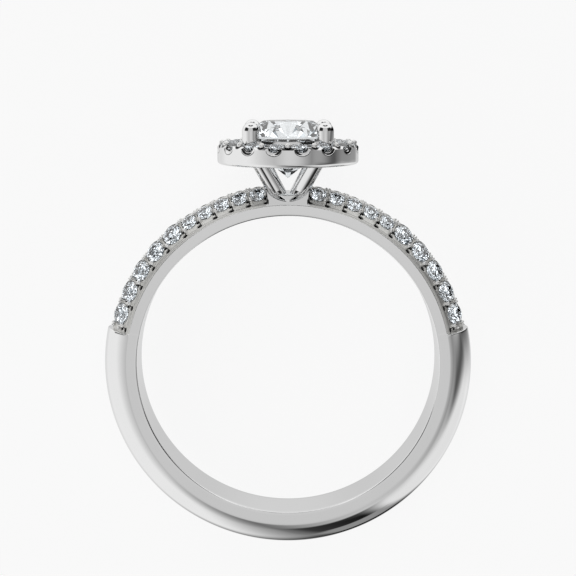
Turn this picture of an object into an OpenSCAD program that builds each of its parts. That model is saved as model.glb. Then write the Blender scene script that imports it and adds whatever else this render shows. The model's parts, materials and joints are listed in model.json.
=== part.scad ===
// Halo ring: a round brilliant in four claws, a halo of small round stones about it,
// and a plain domed band whose shoulders carry two rows of small round stones each.
// All lengths are in millimetres and all angles in degrees.
// The ring is drawn standing: the finger goes along Y and the head is at the top, towards +Z.
// It is then laid on its back, where it rests on the band's rear edge and the halo's rear rim.

/* [Finger hole] */
// Radius of the finger hole
bore_r = 8.5; // [7.6:0.05:10.5]
// Chamfer along both edges of the finger hole
bore_edge = 0.08; // [0.04:0.01:0.2]

/* [Band] */
// Width of the band along the finger
band_w = 3.05; // [2.9:0.05:3.8]
// Thickness of the band at its crest, beside the finger
band_t = 1.95; // [1.8:0.05:2.3]
// How much thicker the band is under the finger, and thinner under the head
palm_extra = 0.08; // [0:0.01:0.12]
// Height of the flat side faces
side_h = 0.62; // [0.5:0.02:0.68]

/* [Shoulders] */
// How far the stone plates stand back from the side faces
plate_step = 0.05; // [0.03:0.01:0.1]
// Height above the bore at which the plates start to slope
plate_edge_h = 0.77; // [0.72:0.01:0.84]
// Slope of the plates, from lying flat on the finger
plate_slope = 43; // [38:0.5:46]
// Height of the crest above the stones' girdle plane
crest_rise = 0.29; // [0.2:0.01:0.34]
// Half of the space on the crest between the two rows of stones
crest_gap = 0.41; // [0.3:0.01:0.5]
// Wall between the last stone and the end of the plate
end_wall = 0.4; // [0.25:0.05:0.6]

/* [Shoulder stones] */
// Girdle diameter of the small stones, next to the head
small_d = 0.9; // [0.7:0.02:0.96]
// Space between two small stones
small_gap = 0.14; // [0.12:0.01:0.24]
// Number of small stones in a row
small_count = 5; // [3:1:6]
// Girdle diameter of the large stones, further down
large_d = 1.18; // [1:0.02:1.24]
// Space between two large stones
large_gap = 0.17; // [0.14:0.01:0.26]
// Number of large stones in a row
large_count = 5; // [3:1:6]
// Radius of the grains that hold the shoulder stones
grain_r = 0.13; // [0.1:0.01:0.16]

/* [Saddle] */
// Radius of the hollow between the shoulders, under the head
saddle_r = 1.5; // [1.3:0.05:1.8]
// Thickness of the band at the bottom of the saddle
saddle_t = 0.87; // [0.8:0.01:1]
// Metal between the saddle and the first stone
saddle_wall = 0.15; // [0.12:0.01:0.3]

/* [Centre stone] */
// Girdle diameter of the centre stone
center_d = 5.1; // [4.8:0.05:6]
// Height of the centre stone's girdle above the bore
center_h = 4.27; // [4.1:0.01:4.8]

/* [Claws and legs] */
// Radius of the claws
claw_r = 0.48; // [0.4:0.01:0.52]
// How far a claw reaches in over the girdle
claw_grip = 0.15; // [0.08:0.01:0.22]
// Height of the claws above the girdle
claw_rise = 0.92; // [0.7:0.01:1.05]
// Radius of the legs
leg_r = 0.45; // [0.34:0.01:0.46]
// Height above the bore at which the legs' axes meet, inside the band
leg_root_h = 0.1; // [0.05:0.05:0.7]
// Height of the elbow, where a leg turns into a claw, below the girdle
elbow_drop = 0.44; // [0.3:0.01:0.5]
// Radius of the core that fills the crotch of the legs
core_r = 0.5; // [0.4:0.05:0.7]
// Height of the core above the bore
core_h = 1.25; // [1.1:0.05:1.5]

/* [Halo] */
// Girdle diameter of the halo stones
halo_stone_d = 1.12; // [1:0.02:1.16]
// Number of halo stones, a multiple of four so that the claws stand in gaps
halo_count = 16; // [16:4:16]
// Space between the centre stone's girdle and the halo's inner lip, seen from above
halo_space = 0.05; // [0.04:0.01:0.2]
// Thickness of the inner lip
lip_t = 0.1; // [0.08:0.01:0.2]
// Metal outside the halo stones
rim_t = 0.05; // [0.04:0.01:0.15]
// Height of the halo's underside above the bore
halo_base_h = 2.81; // [2.7:0.01:2.95]
// Height of the rim from the underside to the stones' bed
halo_bed_t = 1.11; // [1.01:0.01:1.17]
// How deep the halo stones' girdles sit in the bed
halo_sink = 0.02; // [0.01:0.01:0.03]
// Height of the outer wall from the underside
halo_wall_t = 0.96; // [0.9:0.01:1]
// Width of the slope from the outer wall's edge up to the bed
rim_slope_w = 0.13; // [0.11:0.01:0.2]
// Height of the inner lip from the underside
lip_h = 1.27; // [1.1:0.01:1.32]
// Radius of the round along the lower outer edge
rim_round = 0.2; // [0.1:0.01:0.3]
// Radius of the cuts through the wall in front of each stone
scallop_r = 0.36; // [0.25:0.01:0.4]
// Radius of the grains between the halo stones
halo_grain_r = 0.17; // [0.12:0.01:0.19]

/* [Fit] */
// Gap between each stone and its seat
seat_gap = 0.04; // [0.03:0.01:0.06]

/* [Hidden] */
$fn = 64;
ring_fn = 180;
eps = 0.01;

// Proportions of a round brilliant, as shares of its girdle diameter
table_share = 0.545;
crown_share = 0.153;
girdle_share = 0.03;
pavilion_share = 0.4315;
// Where the star and lower girdle facets end, as shares of the facet they run along
star_share = 0.5;
lower_share = 0.78;
// Half of the angle between two of a stone's eight main facets
facet_half = 22.5;
// Turn of each shoulder grain about its own middle
grain_turn = 35;

// Band section: a circular dome on two flat sides
dome_rise = band_t - side_h;
dome_r = (pow(band_w / 2, 2) + pow(dome_rise, 2)) / (2 * dome_rise);
dome_c = bore_r + band_t - dome_r;

// Shoulder plates
plate_half_w = band_w / 2 - plate_step;
row_half = crest_gap + large_d / 2 * cos(plate_slope);
row_r = bore_r + plate_edge_h + (plate_half_w - row_half) * tan(plate_slope);
crest_r = row_r + crest_rise;
crest_half = row_half - crest_rise / tan(plate_slope);

// Stones along a shoulder, as angles from the head
function arc_deg(length) = length / row_r * 180 / PI;
saddle_reach = sqrt(pow(saddle_r, 2) - pow(saddle_r - (row_r - bore_r - saddle_t), 2));
first_a = arc_deg(saddle_reach + saddle_wall + small_d / 2);
small_step = arc_deg(small_d + small_gap);
large_step = arc_deg(large_d + large_gap);
change_step = (small_step + large_step) / 2;
small_angles = [for (i = [0:small_count - 1]) first_a + i * small_step];
large_first = small_angles[small_count - 1] + change_step;
large_angles = [for (i = [0:large_count - 1]) large_first + i * large_step];
plate_end = large_angles[large_count - 1] + arc_deg(large_d / 2 + end_wall);
// Gaps in which the grains stand, one before each stone and one after the last
small_gaps = [for (i = [0:small_count - 1]) small_angles[i] - small_step / 2];
large_gaps = [for (i = [0:large_count]) large_first + (i - 0.5) * large_step];

// Head
girdle_z = bore_r + center_h;
claw_ring_r = center_d / 2 + claw_r - claw_grip;
claw_top_z = girdle_z + claw_rise;
elbow_z = girdle_z - elbow_drop;
leg_root_z = bore_r + leg_root_h;
lip_r = center_d / 2 + halo_space;
bed_r = lip_r + lip_t;
halo_row_r = bed_r + seat_gap + halo_stone_d / 2;
halo_r = halo_row_r + halo_stone_d / 2 + seat_gap + rim_t;
halo_base_z = bore_r + halo_base_h;
halo_bed_z = halo_base_z + halo_bed_t;
halo_girdle_z = halo_bed_z - halo_sink;
halo_top_z = halo_girdle_z + (girdle_share + crown_share) * halo_stone_d;
halo_step = 360 / halo_count;

// Rest: a line touches the band's rear lower corner and the round under the halo's rear rim
corner_z = bore_r + side_h + palm_extra;
rim_c_z = halo_base_z + rim_round;
rim_c_y = halo_r - rim_round;
rest_run = corner_z + rim_c_z;
rest_rise = rim_c_y - band_w / 2;
rest_tilt = atan(rest_rise / rest_run) + asin(rim_round / norm([rest_run, rest_rise]));
rest_z = corner_z * sin(rest_tilt) + band_w / 2 * cos(rest_tilt);
// Ends of the laid ring along Y: the band's dome, and the rear claws' round tops
rest_y_low = -(palm_extra + dome_c) * cos(rest_tilt) - dome_r;
rest_y_high = (claw_top_z - claw_r) * cos(rest_tilt) + claw_ring_r * sin(45) * sin(rest_tilt) + claw_r;

function two_digits(i) = str(i < 10 ? "0" : "", i);
function halo_name(i) = str("halo_stone_", two_digits(i));

// Points of a round from angle a0 to a1, in n equal steps
function arc(c, r, a0, a1, n) = [
    for (i = [0:n]) let (a = a0 + (a1 - a0) * i / n) [c[0] + r * cos(a), c[1] + r * sin(a)]];

// n points on a level circle, the first one turned by t
function level(r, z, n, t) = [for (i = [0:n - 1]) [r * cos(t + 360 * i / n), r * sin(t + 360 * i / n), z]];

// Lays the standing ring on its back: its outline's middle at X = Y = 0, its lowest points at Z = 0
module laid() {
    translate([0, -(rest_y_low + rest_y_high) / 2, rest_z]) rotate([rest_tilt - 90, 0, 0]) children();
}

// Turns a profile of (radius, height) about the finger axis, which runs along Y
module about_finger(lift = 0) {
    translate([0, 0, lift]) rotate([90, 0, 0]) rotate_extrude($fn = ring_fn) children();
}

// Puts a piece on a shoulder plate: side -1 is left and 1 right, row -1 is front and 1 back
module on_plate(side, row, angle) {
    translate([0, 0, -palm_extra]) rotate([0, side * angle, 0])
        translate([0, row * row_half, row_r]) rotate([-row * plate_slope, 0, 0]) children();
}

// Full brilliant cut with a sharp culet, on its girdle's lower edge
module brilliant(d) {
    r = d / 2;
    table_r = table_share * r;
    z_top = (girdle_share + crown_share) * d;
    z_girdle = girdle_share * d;
    z_culet = -pavilion_share * d;
    // The kites' side corners lie between the table and the girdle, on the kites' own planes
    star_r = table_r * cos(facet_half) + star_share * (r - table_r);
    kite_slope = (z_top - z_girdle) / (r - table_r);
    star_z = z_girdle + (r - star_r * cos(facet_half)) * kite_slope;
    lower_r = r * (1 - lower_share);
    lower_z = z_culet * (1 - lower_r * cos(facet_half) / r);
    points = concat(
        level(table_r, z_top, 8, 0), level(star_r, star_z, 8, facet_half),
        level(r, z_girdle, 16, 0), level(r, 0, 16, 0),
        level(lower_r, lower_z, 8, facet_half), [[0, 0, z_culet]]);
    star = 8;
    upper = 16;
    under = 32;
    lower = 48;
    culet = 56;
    faces = concat(
        [[for (i = [7:-1:0]) i]],
        [for (i = [0:7]) [i, (i + 1) % 8, star + i]],
        [for (i = [0:7]) [i, star + i, upper + 2 * i, star + (i + 7) % 8]],
        [for (i = [0:7]) [star + i, upper + 2 * i + 1, upper + 2 * i]],
        [for (i = [0:7]) [star + i, upper + (2 * i + 2) % 16, upper + 2 * i + 1]],
        [for (i = [0:15]) [upper + i, upper + (i + 1) % 16, under + (i + 1) % 16, under + i]],
        [for (i = [0:7]) [under + 2 * i, under + 2 * i + 1, lower + i]],
        [for (i = [0:7]) [under + 2 * i + 1, under + (2 * i + 2) % 16, lower + i]],
        [for (i = [0:7]) [under + 2 * i, lower + i, culet, lower + (i + 7) % 8]]);
    polyhedron(points, faces);
}

// Eight-cut for the small stones: a table, eight crown facets and eight pavilion facets
module eight_cut(d) {
    r = d / 2;
    z_top = (girdle_share + crown_share) * d;
    z_girdle = girdle_share * d;
    points = concat(
        level(table_share * r, z_top, 8, facet_half), level(r, z_girdle, 8, facet_half),
        level(r, 0, 8, facet_half), [[0, 0, -pavilion_share * d]]);
    faces = concat(
        [[for (i = [7:-1:0]) i]],
        [for (row = [0, 8], i = [0:7]) [row + i, row + (i + 1) % 8, row + 8 + (i + 1) % 8, row + 8 + i]],
        [for (i = [0:7]) [16 + i, 16 + (i + 1) % 8, 24]]);
    polyhedron(points, faces);
}

// Room that a stone's seat takes out of the metal: a cone for the pavilion, a bore for girdle and crown
module seat_room(d, top) {
    r = d / 2 + seat_gap;
    depth = pavilion_share * d + 2 * seat_gap;
    tip_r = seat_gap;
    rotate_extrude() polygon([[0, -depth], [tip_r, -depth], [r, -seat_gap], [r, top], [0, top]]);
}

// The plain domed band, a full turn
module domed_band() {
    about_finger(-palm_extra) intersection() {
        union() {
            translate([dome_c, 0]) circle(dome_r);
            translate([bore_r / 2, -band_w]) square([dome_c - bore_r / 2, 2 * band_w]);
        }
        translate([0, -band_w / 2]) square([2 * bore_r, band_w]);
    }
}

// The shoulders' own section: level sides, and a plate on each side that slopes up to the crest
module plated_band() {
    about_finger() translate([0, -band_w / 2]) square([bore_r + side_h, band_w]);
    about_finger(-palm_extra) polygon([
        [bore_r / 2, -plate_half_w], [bore_r + plate_edge_h, -plate_half_w],
        [crest_r, -crest_half], [crest_r, crest_half],
        [bore_r + plate_edge_h, plate_half_w], [bore_r / 2, plate_half_w]]);
}

// Wedge about the head that reaches from -a to a degrees
module head_wedge(a) {
    reach = 2 * bore_r;
    rotate([90, 0, 0]) linear_extrude(2 * band_w, center = true)
        polygon(concat([[0, 0]], [for (i = [-2:2]) [reach * sin(i * a / 2), reach * cos(i * a / 2)]]));
}

// Grains on the shoulders, one at the crest and one at the plate's foot in each gap.
// Each is turned along the band, so that its seam and poles stay clear of the edges that it melts into.
module plate_grain(d) {
    reach = d / 2 * cos(plate_slope);
    for (up = [-reach, reach])
        translate([0, up, 0]) rotate([0, grain_turn, 0]) sphere(grain_r);
}

module shoulder_grains() {
    for (side = [-1, 1], row = [-1, 1]) {
        for (a = small_gaps) on_plate(side, row, a) plate_grain(small_d);
        for (a = large_gaps) on_plate(side, row, a) plate_grain(large_d);
    }
}

module shoulder_seats() {
    for (side = [-1, 1], row = [-1, 1]) {
        for (a = small_angles) on_plate(side, row, a) seat_room(small_d, small_d);
        for (a = large_angles) on_plate(side, row, a) seat_room(large_d, large_d);
    }
}

// Band with its shoulders, saddle and seats, before the finger hole is cut
module band() {
    difference() {
        domed_band();
        head_wedge(plate_end);
    }
    difference() {
        union() {
            intersection() {
                plated_band();
                head_wedge(plate_end + 1);
            }
            shoulder_grains();
        }
        shoulder_seats();
        translate([0, 0, bore_r + saddle_t + saddle_r]) rotate([90, 0, 0])
            cylinder(h = 2 * band_w, r = saddle_r, center = true);
    }
}

// The finger hole, with a chamfer along both its edges
module finger_hole() {
    rotate([90, 0, 0]) cylinder(h = 2 * band_w, r = bore_r, center = true, $fn = ring_fn);
    cut = bore_edge + eps;
    for (s = [-1, 1])
        translate([0, s * (band_w / 2 + eps), 0]) rotate([s * 90, 0, 0])
            cylinder(h = cut + eps, r1 = bore_r + cut, r2 = bore_r - eps, $fn = ring_fn);
}

// One leg, straight from the root of the head to its elbow, and the claw that stands on it
module leg_and_claw() {
    run = claw_ring_r;
    rise = elbow_z - leg_root_z;
    translate([0, 0, leg_root_z]) rotate([0, atan2(run, rise), 0])
        cylinder(h = norm([run, rise]), r = leg_r);
    claw_h = claw_top_z - elbow_z;
    translate([claw_ring_r, 0, elbow_z]) {
        sphere(claw_r + 2 * eps);
        rotate_extrude() polygon(concat([[0, 0], [claw_r, 0]], arc([0, claw_h - claw_r], claw_r, 0, 90, 8)));
    }
}

// The halo's rim: a bed for the stones between an inner lip and an outer wall
module halo_rim() {
    low = halo_base_z;
    rotate_extrude($fn = 128) polygon(concat(
        [[lip_r, low]],
        arc([halo_r - rim_round, low + rim_round], rim_round, -90, 0, 6),
        [[halo_r, low + halo_wall_t], [halo_r - rim_slope_w, halo_bed_z],
         [bed_r, halo_bed_z], [bed_r, low + lip_h], [lip_r, low + lip_h]]));
}

// Grains between the halo stones, on the rim's edge
module halo_grains() {
    grain_c_r = halo_r - rim_t - seat_gap - halo_grain_r;
    grain_c_z = halo_top_z + seat_gap - halo_grain_r;
    for (i = [0:halo_count - 1])
        rotate([0, 0, i * halo_step]) translate([grain_c_r, 0, grain_c_z]) sphere(halo_grain_r);
}

// Calls its children at each halo stone's place
module at_halo_stones() {
    for (i = [0:halo_count - 1]) at_halo_stone(i) children();
}

module at_halo_stone(i) {
    rotate([0, 0, -90 + (i + 0.5) * halo_step]) translate([halo_row_r, 0, halo_girdle_z]) children();
}

// What the halo stones take out of the rim and of the claws beside them
module halo_cuts() {
    at_halo_stones() {
        seat_room(halo_stone_d, halo_top_z - halo_girdle_z + seat_gap);
        rotate([0, 90, 0]) cylinder(h = halo_r, r = scallop_r);
    }
}

// Room for the centre stone inside the claws, its own outline with the seat gap all round
module center_room() {
    r = center_d / 2 + seat_gap;
    rotate_extrude($fn = 128) polygon([
        [0, girdle_z - pavilion_share * center_d - 2 * seat_gap],
        [r, girdle_z - seat_gap],
        [r, girdle_z + girdle_share * center_d + seat_gap],
        [table_share * r, girdle_z + (girdle_share + crown_share) * center_d + seat_gap],
        [0, girdle_z + (girdle_share + crown_share) * center_d + seat_gap]]);
}

module head() {
    difference() {
        union() {
            for (a = [45:90:315]) rotate([0, 0, a]) leg_and_claw();
            halo_rim();
            halo_grains();
        }
        halo_cuts();
        center_room();
    }
    translate([0, 0, bore_r + saddle_t / 2]) cylinder(h = core_h - saddle_t / 2, r = core_r);
}

module ring_metal() {
    color("gainsboro") laid() difference() {
        union() {
            band();
            head();
        }
        finger_hole();
    }
}

module center_stone() {
    color("aliceblue") laid() translate([0, 0, girdle_z]) brilliant(center_d);
}

module halo_stone(i) {
    color("aliceblue") laid() at_halo_stone(i - 1) eight_cut(halo_stone_d);
}

module pave_stones(side) {
    color("aliceblue") laid()
        for (row = [-1, 1]) {
            for (a = small_angles) on_plate(side, row, a) eight_cut(small_d);
            for (a = large_angles) on_plate(side, row, a) eight_cut(large_d);
        }
}

ring_metal();
center_stone();
for (i = [1:halo_count])
    halo_stone(i);
pave_stones(-1);  // pave_stones_left
pave_stones(1);  // pave_stones_right
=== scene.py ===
"""Halo ring: the polished metal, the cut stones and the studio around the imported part.

The ring is worked out standing, in millimetres: the finger goes along Y, the head is at the top towards +Z
and the viewer looks along +Y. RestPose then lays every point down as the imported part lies, in metres.
"""

import json
import logging
import math
from collections.abc import Iterator
from dataclasses import dataclass, field
from enum import Enum

import bmesh
import bpy
import numpy as np
from mathutils import Matrix


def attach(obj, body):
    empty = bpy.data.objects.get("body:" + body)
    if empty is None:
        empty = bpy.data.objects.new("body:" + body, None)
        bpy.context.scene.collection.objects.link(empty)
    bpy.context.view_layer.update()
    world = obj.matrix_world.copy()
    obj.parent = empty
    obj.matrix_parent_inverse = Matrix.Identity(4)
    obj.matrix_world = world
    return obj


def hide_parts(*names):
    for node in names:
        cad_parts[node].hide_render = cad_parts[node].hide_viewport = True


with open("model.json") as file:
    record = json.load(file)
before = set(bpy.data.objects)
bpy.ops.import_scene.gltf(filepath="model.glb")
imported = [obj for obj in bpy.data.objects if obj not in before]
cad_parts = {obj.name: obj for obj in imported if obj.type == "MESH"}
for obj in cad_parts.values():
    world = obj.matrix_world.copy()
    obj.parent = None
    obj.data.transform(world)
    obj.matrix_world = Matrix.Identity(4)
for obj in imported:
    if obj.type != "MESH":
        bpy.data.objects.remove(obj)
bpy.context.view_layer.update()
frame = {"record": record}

log = logging.getLogger("halo_ring")
MM = 0.001
# Sockets of a Mix node that mixes colours
MIX_FACTOR, MIX_A, MIX_B, MIX_RESULT = 0, 6, 7, 2
# A stone's well: how far under the girdle its cone starts, and the cone's slope
WELL_DEPTH, WELL_SLOPE = 0.06, 0.8
# Share of a direction towards a card from which the card shows, and the least one that is divided by
CARD_AHEAD, LEAST_SHARE = 0.02, 0.001


class Slot(Enum):
    """Material slots of the record."""

    METAL = "polished_metal"
    CENTER = "center_stone"
    SMALL = "small_stones"


class Side(Enum):
    """The two shoulders, by the sign of their angle from the head."""

    LEFT = -1
    RIGHT = 1


@dataclass(frozen=True)
class RestPose:
    """How the standing ring is laid on its back, read from the finger hole that the record states."""

    tilt: float
    center_y: float
    center_z: float

    @classmethod
    def from_record(cls) -> "RestPose":
        """Reads the finger hole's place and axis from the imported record."""
        hole = next(m for m in frame["record"]["mounts"] if m["name"] == "finger_hole")
        return cls(math.asin(-hole["axis"][1]), hole["pos_m"][1], hole["pos_m"][2])

    def turn(self, vectors: np.ndarray) -> np.ndarray:
        """Turns standing directions into lying ones.

        Args:
            vectors: directions, one per row.

        Returns:
            The same directions in the part's frame.
        """
        s, c = math.sin(self.tilt), math.cos(self.tilt)
        return np.stack([vectors[..., 0], vectors[..., 1] * s + vectors[..., 2] * c,
                         -vectors[..., 1] * c + vectors[..., 2] * s], axis=-1)

    def place(self, points: np.ndarray) -> np.ndarray:
        """Lays standing points in millimetres down, in metres."""
        return self.turn(np.asarray(points, float)) * MM + np.array([0.0, self.center_y, self.center_z])


POSE = RestPose.from_record()


def smooth_step(x: np.ndarray) -> np.ndarray:
    """Rises from 0 to 1 over x from 0 to 1, level at both ends: 3x^2 - 2x^3."""
    t = np.clip(x, 0.0, 1.0)
    return t * t * (3.0 - 2.0 * t)


def soft_min(a: np.ndarray, b: np.ndarray, blend: float) -> np.ndarray:
    """The lower of a and b, with the corner between them rounded over the blend's width."""
    h = np.clip(0.5 + 0.5 * (b - a) / blend, 0.0, 1.0)
    return b * (1.0 - h) + a * h - blend * h * (1.0 - h)


def arc_points(center: tuple[float, float], radius: float, start: float, end: float,
               count: int) -> np.ndarray:
    """Points of a plane round, from the start angle to the end angle in degrees, ends included."""
    t = np.radians(np.linspace(start, end, count))
    return np.stack([center[0] + radius * np.cos(t), center[1] + radius * np.sin(t)], axis=1)


def about_head(radius: np.ndarray, turn: np.ndarray, height: np.ndarray) -> np.ndarray:
    """Points at a radius and a turn from +X about the head's axis, at a height along it."""
    r, a, z = np.broadcast_arrays(radius, turn, height)
    return np.stack([r * np.cos(a), r * np.sin(a), z], axis=-1)


def about_finger(radius: np.ndarray, turn: np.ndarray, width: np.ndarray, lift: np.ndarray) -> np.ndarray:
    """Points at a radius and a turn from the head about the finger's axis, then lifted along Z."""
    r, a, w, up = np.broadcast_arrays(radius, turn, width, lift)
    return np.stack([r * np.sin(a), w, up + r * np.cos(a)], axis=-1)


def grid_faces(rows: int, cols: int, close_rows: bool = False, close_cols: bool = False) -> np.ndarray:
    """Quads between the points of a grid that is stored row after row.

    Args:
        rows: number of rows of points.
        cols: number of points in a row.
        close_rows: joins the last row to the first.
        close_cols: joins the last point of each row to its first.

    Returns:
        An array of four point numbers per quad.
    """
    i, j = np.meshgrid(np.arange(rows if close_rows else rows - 1),
                       np.arange(cols if close_cols else cols - 1), indexing="ij")
    below, beside = (i + 1) % rows, (j + 1) % cols
    return np.stack([i * cols + j, i * cols + beside, below * cols + beside, below * cols + j],
                    axis=-1).reshape(-1, 4)


@dataclass
class Shape:
    """Points and faces of one surface, or of several that are joined.

    The last field is shade painted into the metal's colour: 1 where a point is painted as dark as the bottom
    of a narrow cut, 0 where it is left; points past its end are left.
    """

    points: np.ndarray
    faces: list[list[int]]
    recess: np.ndarray = field(default_factory=lambda: np.zeros(0))

    @classmethod
    def from_grid(cls, grid: np.ndarray, close_rows: bool = False, close_cols: bool = False) -> "Shape":
        """A surface from a grid of points with rows, columns and coordinates as its three directions."""
        rows, cols = grid.shape[:2]
        return cls(grid.reshape(-1, 3), grid_faces(rows, cols, close_rows, close_cols).tolist())

    @classmethod
    def tube(cls, grid: np.ndarray) -> "Shape":
        """A closed tube, with a fan over its first and its last ring.

        Args:
            grid: rings by points by coordinates.

        Returns:
            The tube, with the two fans' middles as its last points.
        """
        rows, cols = grid.shape[:2]
        points = np.concatenate([grid.reshape(-1, 3), [grid[0].mean(axis=0)], [grid[-1].mean(axis=0)]])
        faces = grid_faces(rows, cols, close_cols=True).tolist()
        ring = np.arange(cols)
        first = np.stack([np.full(cols, rows * cols), (ring + 1) % cols, ring], axis=1)
        last = np.stack([np.full(cols, rows * cols + 1), ring, (ring + 1) % cols], axis=1)
        last[:, 1:] += (rows - 1) * cols
        return cls(points, faces + first.tolist() + last.tolist())

    @classmethod
    def joined(cls, shapes: list["Shape"]) -> "Shape":
        """Joins shapes, each still its own shell.

        Args:
            shapes: the shapes in order.

        Returns:
            All of them as one shape.
        """
        starts = np.cumsum([0] + [len(s.points) for s in shapes[:-1]])
        faces = [[int(start) + k for k in face] for s, start in zip(shapes, starts) for face in s.faces]
        return cls(np.concatenate([s.points for s in shapes]), faces)

    def moved(self, axes: np.ndarray, origin: np.ndarray) -> "Shape":
        """The shape with its x, y and z along the rows of axes and its origin moved."""
        return Shape(self.points @ axes + origin, self.faces)

    def build(self, name: str, material: bpy.types.Material, slot: Slot, nodes: list[str],
              sharp: float | None) -> bpy.types.Object:
        """Makes the piece, laid down, with outward faces.

        Args:
            name: the piece's name.
            material: its finish.
            slot: the record's material slot; not used.
            nodes: the CAD nodes that it stands for.
            sharp: edges bent by more than this many degrees stay sharp; None keeps every facet flat.

        Returns:
            The new object, riding on the ring.
        """
        mesh = bpy.data.meshes.new(name)
        mesh.from_pydata(POSE.place(self.points).tolist(), [], self.faces)
        work = bmesh.new()
        work.from_mesh(mesh)
        bmesh.ops.recalc_face_normals(work, faces=work.faces)
        work.to_mesh(mesh)
        work.free()
        if sharp is not None:
            mesh.shade_smooth()
            mesh.set_sharp_from_angle(angle=math.radians(sharp))
        # Shade painted into the colour for each point, kept on the mesh as an attribute
        shade = np.zeros(len(self.points))
        shade[:len(self.recess)] = self.recess
        mesh.attributes.new("recess", "FLOAT", "POINT").data.foreach_set("value", shade)
        mesh.materials.append(material)
        piece = bpy.data.objects.new(name, mesh)
        bpy.context.scene.collection.objects.link(piece)
        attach(piece, "root")
        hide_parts(*nodes)
        log.info("%s: %d faces", name, len(mesh.polygons))
        return piece

    def build_metal(self, name: str, material: bpy.types.Material, sharp: float) -> bpy.types.Object:
        """Makes a piece that stands for some of the ring's one solid of metal."""
        return self.build(name, material, Slot.METAL, ["ring_metal"], sharp)

    def build_stone(self, name: str, material: bpy.types.Material, slot: Slot, node: str) -> bpy.types.Object:
        """Makes a stone, or a field of stones, with flat facets."""
        return self.build(name, material, slot, [node], None)


def ball(center: np.ndarray, radii: tuple[float, float, float], axes: np.ndarray,
         rings: int = 9, around: int = 14) -> Shape:
    """A closed ball, longer or shorter along each of its own axes.

    Args:
        center: its middle.
        radii: its radii along the rows of axes.
        axes: its own axes as rows.
        rings: rings of points between its poles.
        around: points in a ring.

    Returns:
        The ball, with its poles as its last two points.
    """
    polar = np.linspace(0.0, math.pi, rings + 2)[1:-1, None]
    turn = np.linspace(0.0, 2.0 * math.pi, around, endpoint=False)[None, :]
    local = np.stack([radii[0] * np.sin(polar) * np.cos(turn), radii[1] * np.sin(polar) * np.sin(turn),
                      radii[2] * np.cos(polar) + 0.0 * turn], axis=-1)
    shape = Shape.tube(local @ axes + center)
    shape.points[-2] = center + radii[2] * axes[2]
    shape.points[-1] = center - radii[2] * axes[2]
    return shape


@dataclass(frozen=True)
class BrilliantCut:
    """Full round brilliant on its girdle's lower edge, with the proportions as shares of its diameter."""

    diameter: float
    table_share: float = 0.545
    crown_share: float = 0.153
    girdle_share: float = 0.03
    pavilion_share: float = 0.4315
    star_share: float = 0.5
    lower_share: float = 0.78

    def shape(self) -> Shape:
        """Eight each of stars, kites and pavilion mains, sixteen upper and lower halves and a table.

        Returns:
            The stone with its axis along Z.
        """
        half = math.pi / 8
        radius = self.diameter / 2
        table = self.table_share * radius
        top = (self.girdle_share + self.crown_share) * self.diameter
        girdle = self.girdle_share * self.diameter
        culet = -self.pavilion_share * self.diameter
        star = table * math.cos(half) + self.star_share * (radius - table)
        star_z = girdle + (radius - star * math.cos(half)) * (top - girdle) / (radius - table)
        lower = radius * (1 - self.lower_share)
        lower_z = culet * (1 - lower * math.cos(half) / radius)

        def level(r: float, z: float, count: int, turn: float) -> np.ndarray:
            """Points evenly round a level circle, the first one turned."""
            return about_head(r, turn + np.arange(count) * 2 * math.pi / count, z)

        points = np.concatenate([level(table, top, 8, 0), level(star, star_z, 8, half),
                                 level(radius, girdle, 16, 0), level(radius, 0, 16, 0),
                                 level(lower, lower_z, 8, half), [[0, 0, culet]]])
        k, m = np.arange(8), np.arange(16)
        s, u, d, w, tip = 8, 16, 32, 48, 56
        faces = [list(range(8))]
        faces += np.stack([k, (k + 1) % 8, s + k], axis=1).tolist()
        faces += np.stack([k, s + k, u + 2 * k, s + (k + 7) % 8], axis=1).tolist()
        faces += np.stack([s + k, u + 2 * k + 1, u + 2 * k], axis=1).tolist()
        faces += np.stack([s + k, u + (2 * k + 2) % 16, u + 2 * k + 1], axis=1).tolist()
        faces += np.stack([u + m, u + (m + 1) % 16, d + (m + 1) % 16, d + m], axis=1).tolist()
        faces += np.stack([d + 2 * k, d + 2 * k + 1, w + k], axis=1).tolist()
        faces += np.stack([d + 2 * k + 1, d + (2 * k + 2) % 16, w + k], axis=1).tolist()
        faces += np.stack([d + 2 * k, w + k, np.full(8, tip), w + (k + 7) % 8], axis=1).tolist()
        return Shape(points, faces)


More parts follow.
